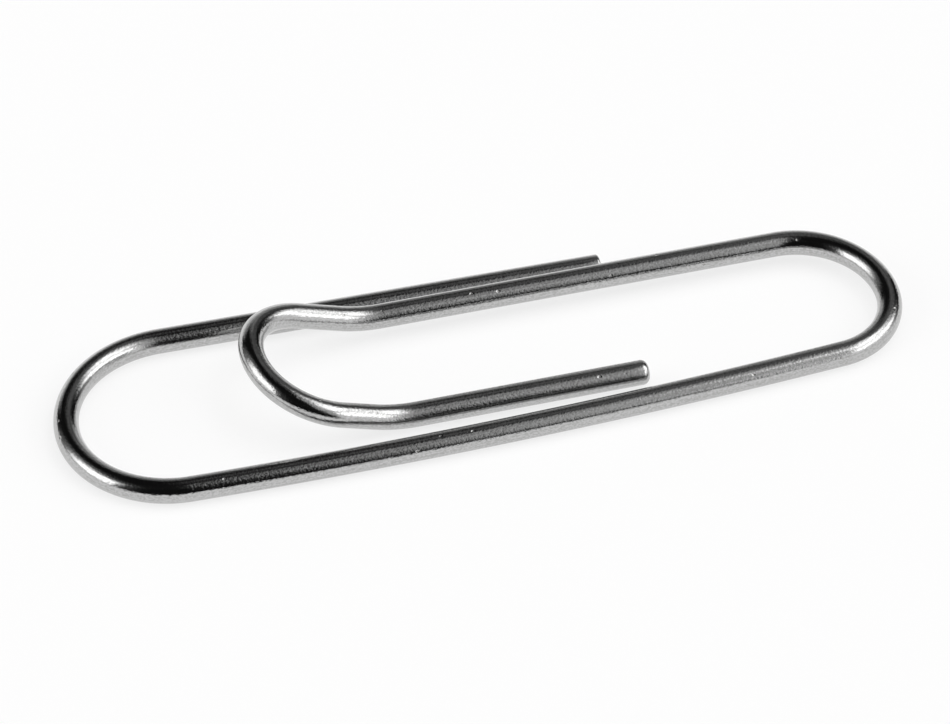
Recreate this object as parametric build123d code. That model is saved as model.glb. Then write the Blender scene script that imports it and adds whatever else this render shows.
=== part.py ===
from build123d import *
from dataclasses import dataclass, replace
from math import cos, radians, sin, sqrt
import os

# A paper clip bent from one length of round wire. Sizes are in millimetres and degrees, with +Z up.
# The clip lies on its outer loop. +X points at the tail bend, where the wire turns back from the outer loop
# into the inner one, and the origin is on the resting plane, below the middle of the whole clip.
# The wire is followed from its outer free end to its inner one, as a bending machine feeds it, so each
# stretch starts where the one before it ends. The bends all turn the same way and wind the wire inwards.
# Each bend radius is measured to the centre of the wire.

# Wire
WIRE_DIAMETER = 0.96
OUTER_END_ROUNDING = 0.12
TONGUE_END_ROUNDING = 0.26

# Outer loop, which lies flat
OUTER_LEG_LENGTH = 17.4
OUTER_BEND_BACK_RADIUS = 4.35
OUTER_BEND_FRONT_RADIUS = 3.9
OUTER_BEND_SPRING_BACK_ANGLE = 0.9
LONG_LEG_LENGTH = 25.6
LONG_LEG_BOW_ANGLE = 6.7

# Tail bend, whose plane is rolled about the long leg, so that the inner loop stands a little higher.
# It brings the middle leg back beside the outer leg's free end, clear of it
TAIL_ROLL_ANGLE = 3.45
TAIL_BEND_FRONT_RADIUS = 2.9
LEG_CLEARANCE = 0.14

# Inner loop, with its tip lifted into a tongue that paper slips under
MIDDLE_LEG_LEAN_ANGLE = 1.15
MIDDLE_LEG_LENGTH = 15.8
LIP_BEND_RADIUS = 5.0
LIP_ANGLE = 18.7
LIP_LENGTH = 1.75
TONGUE_BEND_BACK_RADIUS = 2.45
TONGUE_GAP = 0.72
TONGUE_LEG_LENGTH = 9.05

WIRE_RADIUS = WIRE_DIAMETER / 2
QUARTER_TURN = 90


@dataclass
class Place:
    """A point on the wire's centre line, the way the wire runs there, and which way is up for its bends."""

    at: Vector
    along: Vector
    up: Vector

    @property
    def left(self):
        return self.up.cross(self.along)

    @property
    def right(self):
        return self.along.cross(self.up)


def section(place):
    """The wire's round section, square to the wire."""
    return Plane(origin=place.at, z_dir=place.along) * Circle(WIRE_RADIUS)


def straight(start, length):
    """A straight run of wire, and the place where it ends."""
    end = replace(start, at=start.at + start.along * length)
    return extrude(section(start), amount=length), end


def bend(start, radius, angle, turn_axis):
    """A round bend that turns the wire about turn_axis, and the place where it ends."""
    centre = start.at + turn_axis.cross(start.along) * radius
    axis = Axis(centre, turn_axis)
    end = Place(
        centre + (start.at - centre).rotate(axis, angle),
        start.along.rotate(axis, angle),
        start.up.rotate(axis, angle),
    )
    return revolve(section(start), axis, angle), end


def flat_bend(start, radius, angle):
    """A bend in the plane of the loop."""
    return bend(start, radius, angle, start.up)


def lift_bend(start, radius, angle):
    """A bend upwards, out of the plane of the loop."""
    return bend(start, radius, angle, start.right)


def rolled(place, angle):
    """The same place, with the plane of the bends that follow rolled about the wire."""
    return replace(place, up=place.up.rotate(Axis(place.at, place.along), angle))


def radius_passing(start, angle, spot, spacing):
    """The radius of a flat bend after which the wire, running straight on, passes a spot at a spacing.

    The spacing is from the spot to the wire's centre line, square to X.
    """
    end_along = start.along * cos(radians(angle)) + start.left * sin(radians(angle))

    def slid(offset):
        """An offset carried along the straight run to where it has no X."""
        return offset - end_along * (offset.X / end_along.X)

    from_spot = slid(start.at - spot)
    per_radius = slid(start.along * sin(radians(angle)) + start.left * (1 - cos(radians(angle))))
    square = per_radius.dot(per_radius)
    half_slope = per_radius.dot(from_spot)
    excess = from_spot.dot(from_spot) - spacing**2
    return (-half_slope - sqrt(half_slope**2 - square * excess)) / square


def round_free_end(leg, rounding):
    """A leg with the edge of its cut end rounded. Both free ends of the wire point along +X."""
    cut_face = leg.faces().sort_by(Axis.X)[-1]
    return fillet(cut_face.edges(), rounding)


# Outer loop
outer_free_end = Place(Vector(0, 0, WIRE_RADIUS), Vector(-1, 0, 0), Vector(0, 0, 1))
outer_leg, outer_bend_start = straight(outer_free_end, OUTER_LEG_LENGTH)
outer_leg = round_free_end(outer_leg, OUTER_END_ROUNDING)

outer_bend_back, outer_apex = flat_bend(outer_bend_start, OUTER_BEND_BACK_RADIUS, QUARTER_TURN)
outer_front_turn = QUARTER_TURN - OUTER_BEND_SPRING_BACK_ANGLE
outer_bend_front, long_leg_start = flat_bend(outer_apex, OUTER_BEND_FRONT_RADIUS, outer_front_turn)
outer_bend = outer_bend_back + outer_bend_front

long_leg_radius = LONG_LEG_LENGTH / radians(LONG_LEG_BOW_ANGLE)
long_leg_centre = long_leg_start.at + long_leg_start.left * long_leg_radius
long_leg, long_leg_end = flat_bend(long_leg_start, long_leg_radius, LONG_LEG_BOW_ANGLE)

# Tail bend, in two quarters that meet at its apex, where it twists when the clip is opened
tail_start = rolled(long_leg_end, TAIL_ROLL_ANGLE)
tail_front_turn = QUARTER_TURN + OUTER_BEND_SPRING_BACK_ANGLE - LONG_LEG_BOW_ANGLE
tail_bend_front, tail_apex = flat_bend(tail_start, TAIL_BEND_FRONT_RADIUS, tail_front_turn)

tail_back_turn = QUARTER_TURN + MIDDLE_LEG_LEAN_ANGLE
leg_spacing = WIRE_DIAMETER + LEG_CLEARANCE
tail_bend_back_radius = radius_passing(tail_apex, tail_back_turn, outer_free_end.at, leg_spacing)
tail_bend_back, middle_leg_start = flat_bend(tail_apex, tail_bend_back_radius, tail_back_turn)

# Inner loop, with the tongue's lip lifted along one line across both of its legs
middle_leg, lip_foot = straight(middle_leg_start, MIDDLE_LEG_LENGTH)
lip_back_bend, lip_back_start = lift_bend(lip_foot, LIP_BEND_RADIUS, LIP_ANGLE)
lip_back_run, tongue_bend_start = straight(lip_back_start, LIP_LENGTH)
lip_back = lip_back_bend + lip_back_run

long_leg_y = long_leg_centre.Y - sqrt(long_leg_radius**2 - (lip_foot.at.X - long_leg_centre.X) ** 2)
beside_lip = Vector(lip_foot.at.X, long_leg_y, WIRE_RADIUS)
tongue_spacing = WIRE_DIAMETER + TONGUE_GAP
tongue_bend_back, tongue_apex = flat_bend(tongue_bend_start, TONGUE_BEND_BACK_RADIUS, QUARTER_TURN)
tongue_bend_front_radius = radius_passing(tongue_apex, QUARTER_TURN, beside_lip, tongue_spacing)
tongue_bend_front, lip_front_start = flat_bend(tongue_apex, tongue_bend_front_radius, QUARTER_TURN)
tongue_bend = tongue_bend_back + tongue_bend_front

lip_front_length = LIP_LENGTH + TONGUE_BEND_BACK_RADIUS - tongue_bend_front_radius
lip_front_run, lip_front_bend_start = straight(lip_front_start, lip_front_length)
lip_front_bend, tongue_leg_start = lift_bend(lip_front_bend_start, LIP_BEND_RADIUS, LIP_ANGLE)
lip_front = lip_front_run + lip_front_bend

tongue_leg, tongue_free_end = straight(tongue_leg_start, TONGUE_LEG_LENGTH)
tongue_leg = round_free_end(tongue_leg, TONGUE_END_ROUNDING)

# The clip's box, and the shift that puts the origin below its middle
left_side = outer_apex.at.X - WIRE_RADIUS
right_side = tail_apex.at.X + WIRE_RADIUS
back_side = outer_free_end.at.Y + WIRE_RADIUS
front_side = long_leg_centre.Y - long_leg_radius - WIRE_RADIUS
shift = Vector(-(left_side + right_side) / 2, -(front_side + back_side) / 2, 0)

stretches = {
    "outer_leg": outer_leg,
    "outer_bend": outer_bend,
    "long_leg": long_leg,
    "tail_bend_front": tail_bend_front,
    "tail_bend_back": tail_bend_back,
    "middle_leg": middle_leg,
    "lip_back": lip_back,
    "tongue_bend": tongue_bend,
    "lip_front": lip_front,
    "tongue_leg": tongue_leg,
}
os.makedirs("parts", exist_ok=True)
for name, stretch in stretches.items():
    export_step(Location(shift) * stretch, f"parts/{name}.step")

print("length", right_side - left_side, "width", back_side - front_side)
print("tail bend back radius", tail_bend_back_radius)
print("tongue bend front radius", tongue_bend_front_radius, "lip front run", lip_front_length)
print("twist axis at", tail_apex.at + shift, "along", tail_apex.along)
print("outer free end", outer_free_end.at + shift, "tongue free end", tongue_free_end.at + shift)
print("outer apex", outer_apex.at + shift, "tongue apex", tongue_apex.at + shift)
print("lip foot", lip_foot.at + shift, "tongue leg start", tongue_leg_start.at + shift)
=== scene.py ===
"""A paper clip bent from one length of bright plated wire, dressed for its photograph."""

from collections import namedtuple
from math import ceil, cos, pi, radians, sin, sqrt

import bpy
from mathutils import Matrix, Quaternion, Vector


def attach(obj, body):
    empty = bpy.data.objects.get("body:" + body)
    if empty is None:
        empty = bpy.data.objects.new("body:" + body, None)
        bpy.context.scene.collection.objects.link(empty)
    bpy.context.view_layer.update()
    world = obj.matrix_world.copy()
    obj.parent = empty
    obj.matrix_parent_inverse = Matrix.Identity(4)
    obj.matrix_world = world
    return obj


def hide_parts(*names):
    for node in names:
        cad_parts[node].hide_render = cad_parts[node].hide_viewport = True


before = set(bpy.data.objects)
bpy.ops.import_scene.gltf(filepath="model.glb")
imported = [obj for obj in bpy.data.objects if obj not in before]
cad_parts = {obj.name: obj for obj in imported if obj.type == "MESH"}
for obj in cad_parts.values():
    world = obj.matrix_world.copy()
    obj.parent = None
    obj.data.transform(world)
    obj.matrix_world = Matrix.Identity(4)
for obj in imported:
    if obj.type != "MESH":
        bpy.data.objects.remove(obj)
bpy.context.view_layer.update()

MM = 0.001
QUARTER_TURN = 90

# Wire, in millimetres and degrees. It is followed from its outer free end to its inner one
WIRE_DIAMETER = 0.96
OUTER_END_ROUNDING = 0.12
TONGUE_END_ROUNDING = 0.26

# Outer loop, which lies flat
OUTER_LEG_LENGTH = 17.4
OUTER_BEND_BACK_RADIUS = 4.35
OUTER_BEND_FRONT_RADIUS = 3.9
OUTER_BEND_SPRING_BACK_ANGLE = 0.9
LONG_LEG_LENGTH = 25.6
LONG_LEG_BOW_ANGLE = 6.7

# Tail bend, whose plane is rolled about the long leg
TAIL_ROLL_ANGLE = 3.45
TAIL_BEND_FRONT_RADIUS = 2.9
LEG_CLEARANCE = 0.14

# Inner loop, with its tip lifted into a tongue
MIDDLE_LEG_LEAN_ANGLE = 1.15
MIDDLE_LEG_LENGTH = 15.8
LIP_BEND_RADIUS = 5.0
LIP_ANGLE = 18.7
LIP_LENGTH = 1.75
TONGUE_BEND_BACK_RADIUS = 2.45
TONGUE_GAP = 0.72
TONGUE_LEG_LENGTH = 9.05

WIRE_RADIUS = WIRE_DIAMETER / 2

# Fineness of the wire's mesh. At the tail's apex the wire runs straight for a short step each way, and is
# cut square, with a hairline between the two loops, which turn on each other there
SIDES = 64
STRAIGHT_STEP = 0.4
BEND_STEP_ANGLE = 2.0
END_STEPS = 8
END_TOLERANCE = 0.0001
APEX_STEP = 0.02
TWIST_HAIRLINE = 0.001

# Marks of drawing, bending and plating, with their sizes along the wire and across it
WIRE_MARKS = {
    "Line Length": 7.0,
    "Line Width": 0.07,
    "Grain Length": 0.095,
    "Grain Width": 0.065,
    "Pit Spacing Along": 1.0,
    "Pit Spacing Across": 0.6,
}
GRAIN_DEPTH = 0.006
LINE_DEPTH = 0.003
PIT_DEPTH = 0.01

# Marks of the shear on the cut ends, which have no pits
SHEAR_MARKS = {
    "Line Length": 0.05,
    "Line Width": 0.3,
    "Grain Length": 0.05,
    "Grain Width": 0.05,
}
SHEAR_DEPTH = 0.004
SHEAR_GRAIN_SHARE = 0.5

# Patterns of the marks. A pit is deepest up to the first share of its spacing, and ends at the second
LINE_NOISE = {"Scale": 1.0, "Detail": 3.0, "Roughness": 0.6}
GRAIN_NOISE = {"Scale": 1.0, "Detail": 2.0, "Roughness": 0.55}
PIT_CELLS = {"Scale": 1.0, "Randomness": 1.0}
PIT_RIM = (0.04, 0.1)
NOISE_RANGE = (0.3, 0.7)

# Plating. The grain and a share of the lines add up to its wear, which dulls it over a range
BRIGHT_PLATING = (0.527, 0.527, 0.527, 1)
DULL_PLATING = (0.423, 0.423, 0.418, 1)
WEAR_LINE_SHARE = 0.5
WEAR_RANGE = (0.55, 0.95)
PIT_COLOUR = (0.442, 0.437, 0.428, 1)
PIT_ROUGHNESS = 0.15
PLATING_ROUGHNESS = (0.07, 0.16)

# Bare steel of the cut ends
SMOOTH_STEEL = (0.5, 0.495, 0.485, 1)
DRAGGED_STEEL = (0.36, 0.355, 0.35, 1)
STEEL_ROUGHNESS = (0.22, 0.42)

# Camera, in millimetres and degrees, with the photograph's frame in pixels. Near and far are in metres
PHOTO_WIDTH = 950
FOCAL_LENGTH_PIXELS = 5068
SENSOR_WIDTH = 36.0
CAMERA_AZIMUTH = -14.44
CAMERA_ELEVATION = 42.34
CAMERA_DISTANCE = 192.0
CAMERA_TARGET = (-0.29, -0.02, 0.5)
CAMERA_NEAR = 0.01
CAMERA_FAR = 10

# Studio floor and lamp, in metres and degrees. A brightness of 1 is white
FLOOR_RADIUS = 1.5
FLOOR_SIDES = 96
COVE_RADIUS = 0.3
COVE_TURN = 50
COVE_STEPS = 12
FLOOR_COLOUR = (0.96, 0.96, 0.96, 1)
FLOOR_ROUGHNESS = 0.9
WHITE_SHARE = 0.75
FLOOR_LAMP_SIZE = 1.6
FLOOR_LAMP_HEIGHT = 1.2
FLOOR_LAMP_BRIGHTNESS = 1.2

# Soft windows of the dark room, in steps of 5 degrees. Each edge has the angle at which it is dark, and the
# one at which it is fully bright. Angles round the room are 0 at the front and 90 at the right, and angles
# up it are 0 level with the clip. A window on both sides of the room has its mirror image at the left
DARK_ROOM = 0.008
WINDOW_EDGES = ("Left", "Right", "Bottom", "Top")
TO_FLOOR = (-10, -5)
TO_BACK = (190, 185)
Window = namedtuple("Window", "brightness left right bottom top both_sides", defaults=[False])
ROOM_WINDOWS = {
    "right_window": Window(2.6, left=(30, 40), right=(120, 90), bottom=(20, 25), top=(45, 40)),
    "right_window_top": Window(2.6, left=(25, 65), right=(140, 95), bottom=(35, 55), top=(75, 55)),
    "right_glow": Window(0.55, left=(10, 20), right=(125, 90), bottom=(10, 25), top=(70, 55)),
    "top_glow": Window(0.4, left=(25, 30), right=(125, 85), bottom=(45, 50), top=(80, 75)),
    "ceiling": Window(0.12, left=(110, 140), right=(170, 155), bottom=(20, 40), top=(85, 65)),
    "right_sweep": Window(1.0, left=(20, 25), right=(110, 80), bottom=TO_FLOOR, top=(45, 20)),
    "left_window": Window(2.3, left=(-130, -100), right=(-60, -70), bottom=(0, 15), top=(55, 35)),
    "left_glow": Window(0.25, left=(-150, -120), right=(-35, -95), bottom=(-10, 5), top=(70, 45)),
    "back_wall": Window(0.25, left=(150, 160), right=(180, 165), bottom=TO_FLOOR, top=(45, 30)),
    "back_horizon": Window(
        0.6, left=(150, 160), right=TO_BACK, bottom=TO_FLOOR, top=(30, 5), both_sides=True
    ),
    "right_horizon": Window(0.6, left=(135, 140), right=TO_BACK, bottom=TO_FLOOR, top=(35, 5)),
}

# Pieces of the clip: one loop of wire for each body, with the nodes that it stands for
LOOPS = {
    "outer_loop": ("outer_leg", "outer_bend", "long_leg", "tail_bend_front"),
    "inner_loop": ("tail_bend_back", "middle_leg", "lip_back", "tongue_bend", "lip_front", "tongue_leg"),
}

# Kinds of sockets
NUMBER = "NodeSocketFloat"
WHOLE_NUMBER = "NodeSocketInt"
VECTOR = "NodeSocketVector"
GEOMETRY = "NodeSocketGeometry"
MATERIAL = "NodeSocketMaterial"


# Path of the wire


class WirePen:
    """Walks along the wire's centre line and notes a station at each step."""

    def __init__(self, at, along, up):
        self.at = at
        self.along = along
        self.up = up
        self.stations = [at.copy()]

    @property
    def left(self):
        return self.up.cross(self.along)

    @property
    def right(self):
        return self.along.cross(self.up)

    def straight(self, distances):
        """Goes straight on, with a station at each distance from here."""
        self.stations += [self.at + self.along * distance for distance in distances]
        self.at = self.stations[-1].copy()

    def bend(self, radius, angle, turn_axis, step=BEND_STEP_ANGLE):
        """Turns about turn_axis on a round bend, and returns the bend's centre."""
        centre = self.at + turn_axis.cross(self.along) * radius
        spoke = self.at - centre
        count = ceil(angle / step)
        for number in range(1, count + 1):
            turn = Quaternion(turn_axis, radians(angle * number / count))
            self.stations.append(centre + turn @ spoke)
        self.at = self.stations[-1].copy()
        self.along = turn @ self.along
        self.up = turn @ self.up
        return centre

    def roll(self, angle):
        """Rolls the plane of the bends that follow about the wire."""
        self.up = Quaternion(self.along, radians(angle)) @ self.up

    def radius_passing(self, angle, spot, spacing):
        """The radius of a flat bend after which the wire, running straight on, passes a spot at a spacing."""
        end_along = self.along * cos(radians(angle)) + self.left * sin(radians(angle))

        def slid(offset):
            """An offset carried along the straight run to where it has no X."""
            return offset - end_along * (offset.x / end_along.x)

        from_spot = slid(self.at - spot)
        per_radius = slid(self.along * sin(radians(angle)) + self.left * (1 - cos(radians(angle))))
        square = per_radius.dot(per_radius)
        half_slope = per_radius.dot(from_spot)
        excess = from_spot.dot(from_spot) - spacing**2
        return (-half_slope - sqrt(half_slope**2 - square * excess)) / square


def even_steps(length):
    """Distances of stations along a straight run."""
    count = ceil(length / STRAIGHT_STEP)
    return [length * number / count for number in range(1, count + 1)]


def end_steps(rounding):
    """Distances from a free end, close together at its face, that follow its rounded edge."""
    turns = [radians(QUARTER_TURN * number / END_STEPS) for number in range(END_STEPS + 1)]
    return [rounding * (1 - cos(turn)) for turn in turns]


def trace_wire():
    """Stations along the wire, its length up to the tail's apex, and its whole length, in metres."""
    outer_free_end = Vector((0, 0, WIRE_RADIUS))
    pen = WirePen(outer_free_end, Vector((-1, 0, 0)), Vector((0, 0, 1)))
    rounded = end_steps(OUTER_END_ROUNDING)[1:]
    rest = even_steps(OUTER_LEG_LENGTH - OUTER_END_ROUNDING)
    pen.straight(rounded + [OUTER_END_ROUNDING + distance for distance in rest])
    pen.bend(OUTER_BEND_BACK_RADIUS, QUARTER_TURN, pen.up)
    left_side = pen.at.x - WIRE_RADIUS
    pen.bend(OUTER_BEND_FRONT_RADIUS, QUARTER_TURN - OUTER_BEND_SPRING_BACK_ANGLE, pen.up)
    long_leg_radius = LONG_LEG_LENGTH / radians(LONG_LEG_BOW_ANGLE)
    long_leg_step = LONG_LEG_BOW_ANGLE * STRAIGHT_STEP / LONG_LEG_LENGTH
    long_leg_centre = pen.bend(long_leg_radius, LONG_LEG_BOW_ANGLE, pen.up, long_leg_step)

    pen.roll(TAIL_ROLL_ANGLE)
    tail_front_turn = QUARTER_TURN + OUTER_BEND_SPRING_BACK_ANGLE - LONG_LEG_BOW_ANGLE
    pen.bend(TAIL_BEND_FRONT_RADIUS, tail_front_turn, pen.up)
    right_side = pen.at.x + WIRE_RADIUS
    # The station at the apex makes way for one on each side of it, so the wire is straight where it is cut
    apex = len(pen.stations) - 1
    pen.stations[apex:] = [pen.at - pen.along * APEX_STEP, pen.at + pen.along * APEX_STEP]
    tail_back_turn = QUARTER_TURN + MIDDLE_LEG_LEAN_ANGLE
    leg_spacing = WIRE_DIAMETER + LEG_CLEARANCE
    tail_back_radius = pen.radius_passing(tail_back_turn, outer_free_end, leg_spacing)
    pen.bend(tail_back_radius, tail_back_turn, pen.up)

    pen.straight(even_steps(MIDDLE_LEG_LENGTH))
    lip_x = pen.at.x
    pen.bend(LIP_BEND_RADIUS, LIP_ANGLE, pen.right)
    pen.straight(even_steps(LIP_LENGTH))
    pen.bend(TONGUE_BEND_BACK_RADIUS, QUARTER_TURN, pen.up)
    long_leg_y = long_leg_centre.y - sqrt(long_leg_radius**2 - (lip_x - long_leg_centre.x) ** 2)
    beside_lip = Vector((lip_x, long_leg_y, WIRE_RADIUS))
    tongue_front_radius = pen.radius_passing(QUARTER_TURN, beside_lip, WIRE_DIAMETER + TONGUE_GAP)
    pen.bend(tongue_front_radius, QUARTER_TURN, pen.up)
    pen.straight(even_steps(LIP_LENGTH + TONGUE_BEND_BACK_RADIUS - tongue_front_radius))
    pen.bend(LIP_BEND_RADIUS, LIP_ANGLE, pen.right)
    rounded = [TONGUE_LEG_LENGTH - distance for distance in reversed(end_steps(TONGUE_END_ROUNDING))]
    pen.straight(even_steps(TONGUE_LEG_LENGTH - TONGUE_END_ROUNDING) + rounded[1:])

    front_side = long_leg_centre.y - long_leg_radius - WIRE_RADIUS
    shift = Vector((-(left_side + right_side) / 2, -(front_side + WIRE_RADIUS) / 2, 0))
    stations = [(station + shift) * MM for station in pen.stations]
    steps = [(after - before).length for before, after in zip(stations, stations[1:])]
    return stations, sum(steps[:apex]) + APEX_STEP * MM, sum(steps)


# Helpers for node trees


def add_node(tree, kind, inputs=None, **settings):
    """A node with its settings and inputs. An input is a value, or the socket that feeds it."""
    node = tree.nodes.new(kind)
    for name, value in settings.items():
        setattr(node, name, value)
    for name, value in (inputs or {}).items():
        if isinstance(value, bpy.types.NodeSocket):
            tree.links.new(value, node.inputs[name])
        else:
            node.inputs[name].default_value = value
    return node


def math_of(tree, operation, *terms):
    """The result of a Math node on up to three numbers or sockets."""
    return add_node(tree, "ShaderNodeMath", dict(enumerate(terms)), operation=operation).outputs[0]


def new_group(name, kind, inputs, outputs):
    """A node group with named sockets, its input node's sockets by name, and its output node."""
    group = bpy.data.node_groups.new(name, kind)
    for direction, sockets in (("INPUT", inputs), ("OUTPUT", outputs)):
        for socket_name, socket_kind in sockets.items():
            group.interface.new_socket(socket_name, in_out=direction, socket_type=socket_kind)
    given = add_node(group, "NodeGroupInput").outputs
    return group, given, add_node(group, "NodeGroupOutput")


# Wire mesh


def rounded_end_group():
    """How much of its full radius the wire has at a distance from a free end with a rounded edge."""
    inputs = {"Distance": NUMBER, "Rounding": NUMBER, "Wire Radius": NUMBER}
    group, given, result = new_group("rounded_end", "GeometryNodeTree", inputs, {"Scale": NUMBER})
    rounding = given["Rounding"]
    inside = math_of(group, "MINIMUM", given["Distance"], rounding)
    short = math_of(group, "SUBTRACT", rounding, inside)
    rounding_square = math_of(group, "POWER", rounding, 2)
    short_square = math_of(group, "POWER", short, 2)
    height = math_of(group, "SQRT", math_of(group, "SUBTRACT", rounding_square, short_square))
    drop = math_of(group, "SUBTRACT", rounding, height)
    share = math_of(group, "DIVIDE", drop, given["Wire Radius"])
    group.links.new(math_of(group, "SUBTRACT", 1, share), result.inputs["Scale"])
    return group


def wire_tree():
    """Draws a stretch of wire along a path: round, rounded at the free ends, and marked with its place."""
    inputs = {
        "Path": GEOMETRY,
        "Wire Radius": NUMBER,
        "Sides": WHOLE_NUMBER,
        "Outer End Rounding": NUMBER,
        "Tongue End Rounding": NUMBER,
        "Cut From": NUMBER,
        "Cut To": NUMBER,
        "Wire Finish": MATERIAL,
        "End Finish": MATERIAL,
    }
    tree, given, result = new_group("bent_wire", "GeometryNodeTree", inputs, {"Wire": GEOMETRY})
    radius = given["Wire Radius"]

    length = add_node(tree, "GeometryNodeSplineParameter").outputs["Length"]
    whole = add_node(tree, "GeometryNodeSplineLength").outputs["Length"]
    to_tongue_end = math_of(tree, "SUBTRACT", whole, length)
    rounded_end = rounded_end_group()
    scales = []
    for distance, rounding in ((length, "Outer End Rounding"), (to_tongue_end, "Tongue End Rounding")):
        fed = {"Distance": distance, "Rounding": given[rounding], "Wire Radius": radius}
        scales.append(add_node(tree, "GeometryNodeGroup", fed, node_tree=rounded_end).outputs["Scale"])
    scale = math_of(tree, "MULTIPLY", *scales)
    from_end = math_of(tree, "MINIMUM", length, to_tongue_end)

    noted = add_node(tree, "GeometryNodeCaptureAttribute", {"Geometry": given["Path"]}, domain="POINT")
    for name, socket in (("Along", length), ("Scale", scale), ("From End", from_end)):
        noted.capture_items.new("FLOAT", name)
        tree.links.new(socket, noted.inputs[name])
    stretch = add_node(
        tree,
        "GeometryNodeTrimCurve",
        {"Curve": noted.outputs["Geometry"], "Start_001": given["Cut From"], "End_001": given["Cut To"]},
        mode="LENGTH",
    )
    upright = add_node(tree, "GeometryNodeSetCurveNormal", {"Curve": stretch.outputs[0]}, mode="Z_UP")

    section = add_node(
        tree,
        "GeometryNodeCurvePrimitiveCircle",
        {"Resolution": given["Sides"], "Radius": radius},
        mode="RADIUS",
    )
    marked = add_node(tree, "GeometryNodeCaptureAttribute", {"Geometry": section.outputs[0]}, domain="POINT")
    marked.capture_items.new("VECTOR", "Around")
    tree.links.new(add_node(tree, "GeometryNodeInputPosition").outputs[0], marked.inputs["Around"])

    solid = add_node(
        tree,
        "GeometryNodeCurveToMesh",
        {
            "Curve": upright.outputs[0],
            "Profile Curve": marked.outputs["Geometry"],
            "Scale": noted.outputs["Scale"],
            "Fill Caps": True,
        },
    )
    around = add_node(tree, "ShaderNodeSeparateXYZ", {"Vector": marked.outputs["Around"]})
    place = add_node(
        tree,
        "ShaderNodeCombineXYZ",
        {"X": noted.outputs["Along"], "Y": around.outputs["X"], "Z": around.outputs["Y"]},
    )
    placed = add_node(
        tree,
        "GeometryNodeStoreNamedAttribute",
        {"Geometry": solid.outputs[0], "Name": "wire_place", "Value": place.outputs[0]},
        data_type="FLOAT_VECTOR",
        domain="POINT",
    )
    smooth = add_node(tree, "GeometryNodeSetShadeSmooth", {"Geometry": placed.outputs[0]}, domain="FACE")
    whole_wire = add_node(tree, "GeometryNodeRealizeInstances", {"Geometry": smooth.outputs[0]})
    plated = add_node(
        tree,
        "GeometryNodeSetMaterial",
        {"Geometry": whole_wire.outputs[0], "Material": given["Wire Finish"]},
    )
    at_end = add_node(
        tree,
        "FunctionNodeCompare",
        {"A": noted.outputs["From End"], "B": END_TOLERANCE * MM},
        data_type="FLOAT",
        operation="LESS_THAN",
    )
    sheared = add_node(
        tree,
        "GeometryNodeSetMaterial",
        {"Geometry": plated.outputs[0], "Selection": at_end.outputs[0], "Material": given["End Finish"]},
    )
    tree.links.new(sheared.outputs[0], result.inputs["Wire"])
    return tree


def bend_wire(name, tree, stations, settings):
    """A stretch of wire as a plain mesh at the origin."""
    curve = bpy.data.curves.new(name + "_path", "CURVE")
    curve.dimensions = "3D"
    spline = curve.splines.new("POLY")
    spline.points.add(len(stations) - 1)
    for point, station in zip(spline.points, stations):
        point.co = (*station, 1)
    path = bpy.data.objects.new(name + "_path", curve)
    bpy.context.scene.collection.objects.link(path)
    modifier = path.modifiers.new("bent_wire", "NODES")
    modifier.node_group = tree
    identifiers = {item.name: item.identifier for item in tree.interface.items_tree if item.in_out == "INPUT"}
    for socket_name, value in settings.items():
        modifier[identifiers[socket_name]] = value
    evaluated = path.evaluated_get(bpy.context.evaluated_depsgraph_get())
    mesh = bpy.data.meshes.new_from_object(evaluated)
    path.modifiers.remove(modifier)
    bpy.data.objects.remove(path)
    mesh.name = name
    wire = bpy.data.objects.new(name, mesh)
    bpy.context.scene.collection.objects.link(wire)
    return wire


# Finishes


def new_material(name):
    """A new material, its tree and its Principled shader."""
    material = bpy.data.materials.new(name)
    material.use_nodes = True
    return material, material.node_tree, material.node_tree.nodes["Principled BSDF"]


def blend_of(tree, share, low, high):
    """A colour between two colours or sockets, by a share from 0 to 1."""
    factor, first_colour, second_colour, mixed_colour = 0, 6, 7, 2
    fed = {factor: share, first_colour: low, second_colour: high}
    return add_node(tree, "ShaderNodeMix", fed, data_type="RGBA").outputs[mixed_colour]


def ramp_of(tree, value, from_low, from_high, to_low=0.0, to_high=1.0):
    """A value carried smoothly from one range to another, and held at its ends."""
    fed = {"Value": value, "From Min": from_low, "From Max": from_high, "To Min": to_low, "To Max": to_high}
    return add_node(tree, "ShaderNodeMapRange", fed, interpolation_type="SMOOTHSTEP").outputs[0]


def wire_marks_group():
    """Lines, grain and pits in metal, from a place on the wire in millimetres."""
    inputs = {"Place": VECTOR}
    inputs.update({name: NUMBER for name in WIRE_MARKS})
    outputs = {"Lines": NUMBER, "Grain": NUMBER, "Pits": NUMBER}
    group, given, result = new_group("wire_marks", "ShaderNodeTree", inputs, outputs)

    def stretched(along, across):
        """The place, measured in sizes of a mark along the wire and across it."""
        sizes = {"X": given[along], "Y": given[across], "Z": given[across]}
        fed = {0: given["Place"], 1: add_node(group, "ShaderNodeCombineXYZ", sizes).outputs[0]}
        return add_node(group, "ShaderNodeVectorMath", fed, operation="DIVIDE").outputs[0]

    on_lines = stretched("Line Length", "Line Width")
    lines = add_node(group, "ShaderNodeTexNoise", {"Vector": on_lines, **LINE_NOISE})
    on_grain = stretched("Grain Length", "Grain Width")
    grain = add_node(group, "ShaderNodeTexNoise", {"Vector": on_grain, **GRAIN_NOISE})
    on_pits = stretched("Pit Spacing Along", "Pit Spacing Across")
    cells = add_node(group, "ShaderNodeTexVoronoi", {"Vector": on_pits, **PIT_CELLS})
    pits = ramp_of(group, cells.outputs["Distance"], *PIT_RIM, 1.0, 0.0)
    group.links.new(lines.outputs[0], result.inputs["Lines"])
    group.links.new(grain.outputs[0], result.inputs["Grain"])
    group.links.new(pits, result.inputs["Pits"])
    return group


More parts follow.
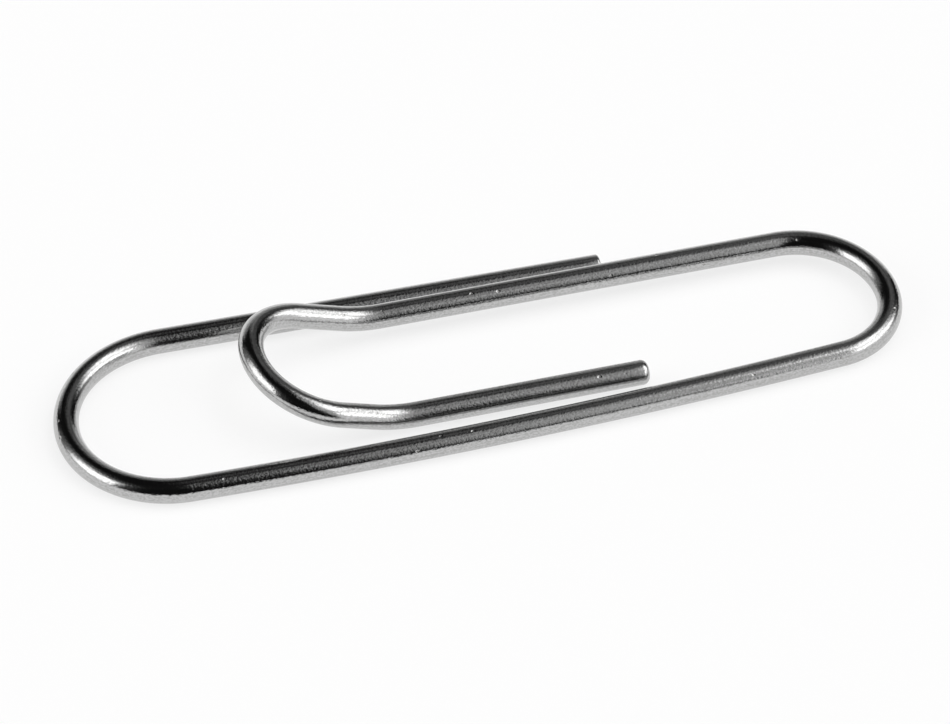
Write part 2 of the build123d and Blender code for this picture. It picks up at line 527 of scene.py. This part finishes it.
def place_on_wire(tree):
    """The length along the wire and the two places across it, in millimetres."""
    place = add_node(tree, "ShaderNodeAttribute", attribute_name="wire_place").outputs["Vector"]
    return add_node(tree, "ShaderNodeVectorMath", {0: place, "Scale": 1 / MM}, operation="SCALE").outputs[0]


def marks_on(tree, group, place, sizes):
    """The marks at a place, with their sizes in millimetres."""
    return add_node(tree, "ShaderNodeGroup", {"Place": place, **sizes}, node_tree=group).outputs


def bright_plating(marks_group):
    """Bright plating over drawn steel, with fine lines along it, a soft grain and a few small pits."""
    material, tree, shader = new_material("bright_plating")
    marks = marks_on(tree, marks_group, place_on_wire(tree), WIRE_MARKS)

    wear = math_of(tree, "MULTIPLY_ADD", marks["Lines"], WEAR_LINE_SHARE, marks["Grain"])
    dull = ramp_of(tree, wear, *WEAR_RANGE)
    plating = blend_of(tree, dull, BRIGHT_PLATING, DULL_PLATING)
    tree.links.new(blend_of(tree, marks["Pits"], plating, PIT_COLOUR), shader.inputs["Base Color"])
    shader.inputs["Metallic"].default_value = 1

    polish = ramp_of(tree, marks["Lines"], *NOISE_RANGE, *PLATING_ROUGHNESS)
    pitted = math_of(tree, "MULTIPLY", marks["Pits"], PIT_ROUGHNESS)
    tree.links.new(math_of(tree, "ADD", polish, pitted), shader.inputs["Roughness"])

    lines = math_of(tree, "MULTIPLY", marks["Lines"], LINE_DEPTH / GRAIN_DEPTH)
    pits = math_of(tree, "MULTIPLY", marks["Pits"], PIT_DEPTH / GRAIN_DEPTH)
    height = math_of(tree, "SUBTRACT", math_of(tree, "ADD", lines, marks["Grain"]), pits)
    bump = add_node(tree, "ShaderNodeBump", {"Height": height, "Distance": GRAIN_DEPTH * MM})
    tree.links.new(bump.outputs[0], shader.inputs["Normal"])
    return material


def sheared_end(marks_group):
    """Bare steel where the wire was sheared off, with the drag lines of the shear across it."""
    material, tree, shader = new_material("sheared_end")
    turn = (0, radians(QUARTER_TURN), 0)
    fed = {"Vector": place_on_wire(tree), "Rotation": turn}
    across_wire = add_node(tree, "ShaderNodeMapping", fed, vector_type="POINT").outputs[0]
    marks = marks_on(tree, marks_group, across_wire, SHEAR_MARKS)

    steel = blend_of(tree, marks["Lines"], SMOOTH_STEEL, DRAGGED_STEEL)
    tree.links.new(steel, shader.inputs["Base Color"])
    shader.inputs["Metallic"].default_value = 1

    roughness = ramp_of(tree, marks["Grain"], *NOISE_RANGE, *STEEL_ROUGHNESS)
    tree.links.new(roughness, shader.inputs["Roughness"])

    grain = math_of(tree, "MULTIPLY", marks["Grain"], SHEAR_GRAIN_SHARE)
    height = math_of(tree, "ADD", marks["Lines"], grain)
    bump = add_node(tree, "ShaderNodeBump", {"Height": height, "Distance": SHEAR_DEPTH * MM})
    tree.links.new(bump.outputs[0], shader.inputs["Normal"])
    return material


# Studio


def studio_floor():
    """A pale floor that curves up at its rim, and stays white beside the clip's shadow."""
    rings = []
    for number in range(COVE_STEPS + 1):
        turn = radians(COVE_TURN * number / COVE_STEPS)
        rings.append((FLOOR_RADIUS + COVE_RADIUS * sin(turn), COVE_RADIUS * (1 - cos(turn))))
    vertices = [(0, 0, 0)]
    for radius, height in rings:
        for number in range(FLOOR_SIDES):
            turn = 2 * pi * number / FLOOR_SIDES
            vertices.append((radius * cos(turn), radius * sin(turn), height))
    faces = []
    for number in range(FLOOR_SIDES):
        faces.append((0, 1 + number, 1 + (number + 1) % FLOOR_SIDES))
    for ring in range(len(rings) - 1):
        inner = 1 + ring * FLOOR_SIDES
        outer = inner + FLOOR_SIDES
        for number in range(FLOOR_SIDES):
            after = (number + 1) % FLOOR_SIDES
            faces.append((inner + number, outer + number, outer + after, inner + after))
    mesh = bpy.data.meshes.new("studio_floor")
    mesh.from_pydata(vertices, [], faces)
    mesh.shade_smooth()
    floor = bpy.data.objects.new("studio_floor", mesh)
    bpy.context.scene.collection.objects.link(floor)

    material, tree, shader = new_material("studio_floor")
    shader.inputs["Base Color"].default_value = FLOOR_COLOUR
    shader.inputs["Roughness"].default_value = FLOOR_ROUGHNESS
    shader.inputs["Specular IOR Level"].default_value = 0
    ray = add_node(tree, "ShaderNodeLightPath").outputs
    seen = math_of(tree, "MAXIMUM", ray["Is Camera Ray"], ray["Is Glossy Ray"])
    seen = math_of(tree, "MAXIMUM", seen, ray["Is Transmission Ray"])
    share = math_of(tree, "MULTIPLY", seen, WHITE_SHARE)
    white = add_node(tree, "ShaderNodeEmission", {"Strength": 1.0})
    mixed = add_node(tree, "ShaderNodeMixShader", {0: share, 1: shader.outputs[0], 2: white.outputs[0]})
    tree.links.new(mixed.outputs[0], tree.nodes["Material Output"].inputs["Surface"])
    mesh.materials.append(material)


def soft_window_group():
    """The brightness of a window with soft edges in a direction, in degrees round the room and up it."""
    inputs = {"Azimuth": NUMBER, "Elevation": NUMBER, "Brightness": NUMBER}
    for edge in WINDOW_EDGES:
        inputs[edge + " Dark"] = NUMBER
        inputs[edge + " Bright"] = NUMBER
    group, given, result = new_group("soft_window", "ShaderNodeTree", inputs, {"Light": NUMBER})
    light = given["Brightness"]
    for edge, angle in zip(WINDOW_EDGES, ("Azimuth", "Azimuth", "Elevation", "Elevation")):
        ramp = ramp_of(group, given[angle], given[edge + " Dark"], given[edge + " Bright"])
        light = math_of(group, "MULTIPLY", light, ramp)
    group.links.new(light, result.inputs["Light"])
    return group


def studio_room():
    """A dark room round the clip, with soft windows to its right, left and back and in its ceiling."""
    world = bpy.data.worlds.new("studio_room")
    world.use_nodes = True
    tree = world.node_tree
    looking = add_node(tree, "ShaderNodeTexCoord").outputs["Generated"]
    looking = add_node(tree, "ShaderNodeSeparateXYZ", {"Vector": looking}).outputs
    to_front = math_of(tree, "MULTIPLY", looking["Y"], -1)
    round_room = math_of(tree, "DEGREES", math_of(tree, "ARCTAN2", looking["X"], to_front))
    up_room = math_of(tree, "DEGREES", math_of(tree, "ARCSINE", looking["Z"]))
    from_front = math_of(tree, "ABSOLUTE", round_room)
    group = soft_window_group()
    light = DARK_ROOM
    for window in ROOM_WINDOWS.values():
        azimuth = from_front if window.both_sides else round_room
        fed = {"Azimuth": azimuth, "Elevation": up_room, "Brightness": window.brightness}
        edges = (window.left, window.right, window.bottom, window.top)
        for edge, (dark, bright) in zip(WINDOW_EDGES, edges):
            fed[edge + " Dark"] = dark
            fed[edge + " Bright"] = bright
        glow = add_node(tree, "ShaderNodeGroup", fed, node_tree=group).outputs["Light"]
        light = math_of(tree, "MAXIMUM", light, glow)
    tree.links.new(light, tree.nodes["Background"].inputs["Strength"])
    tree.nodes["Background"].inputs["Color"].default_value = (1, 1, 1, 1)
    bpy.context.scene.world = world


def floor_lamp():
    """A wide lamp overhead, for the floor and the clip's shadow on it."""
    lamp = bpy.data.lights.new("floor_lamp", "AREA")
    lamp.size = FLOOR_LAMP_SIZE
    lamp.energy = FLOOR_LAMP_BRIGHTNESS * pi * FLOOR_LAMP_SIZE**2
    placed = bpy.data.objects.new("floor_lamp", lamp)
    placed.location = (0, 0, FLOOR_LAMP_HEIGHT)
    placed.visible_camera = False
    placed.visible_glossy = False
    bpy.context.scene.collection.objects.link(placed)


def photo_camera():
    """The camera, from where the photograph was taken."""
    data = bpy.data.cameras.new("photo_camera")
    data.sensor_width = SENSOR_WIDTH
    data.lens = SENSOR_WIDTH * FOCAL_LENGTH_PIXELS / PHOTO_WIDTH
    data.clip_start = CAMERA_NEAR
    data.clip_end = CAMERA_FAR
    camera = bpy.data.objects.new("photo_camera", data)
    azimuth = radians(CAMERA_AZIMUTH)
    elevation = radians(CAMERA_ELEVATION)
    back = Vector((sin(azimuth) * cos(elevation), -cos(azimuth) * cos(elevation), sin(elevation)))
    camera.location = (Vector(CAMERA_TARGET) + back * CAMERA_DISTANCE) * MM
    camera.rotation_euler = (-back).to_track_quat("-Z", "Y").to_euler()
    bpy.context.scene.collection.objects.link(camera)
    bpy.context.scene.camera = camera


# The clip in its studio

stations, apex_length, whole_length = trace_wire()
half_hairline = TWIST_HAIRLINE / 2 * MM
cuts = {
    "outer_loop": (0, apex_length - half_hairline),
    "inner_loop": (apex_length + half_hairline, whole_length),
}
tree = wire_tree()
marks_group = wire_marks_group()
wire_finish = bright_plating(marks_group)
end_finish = sheared_end(marks_group)
for body, nodes in LOOPS.items():
    settings = {
        "Wire Radius": WIRE_RADIUS * MM,
        "Sides": SIDES,
        "Outer End Rounding": OUTER_END_ROUNDING * MM,
        "Tongue End Rounding": TONGUE_END_ROUNDING * MM,
        "Cut From": cuts[body][0],
        "Cut To": cuts[body][1],
        "Wire Finish": wire_finish,
        "End Finish": end_finish,
    }
    wire = bend_wire(body + "_wire", tree, stations, settings)
    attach(wire, body)
    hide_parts(*nodes)

studio_floor()
studio_room()
floor_lamp()
photo_camera()
bpy.context.scene.view_settings.view_transform = "Standard"
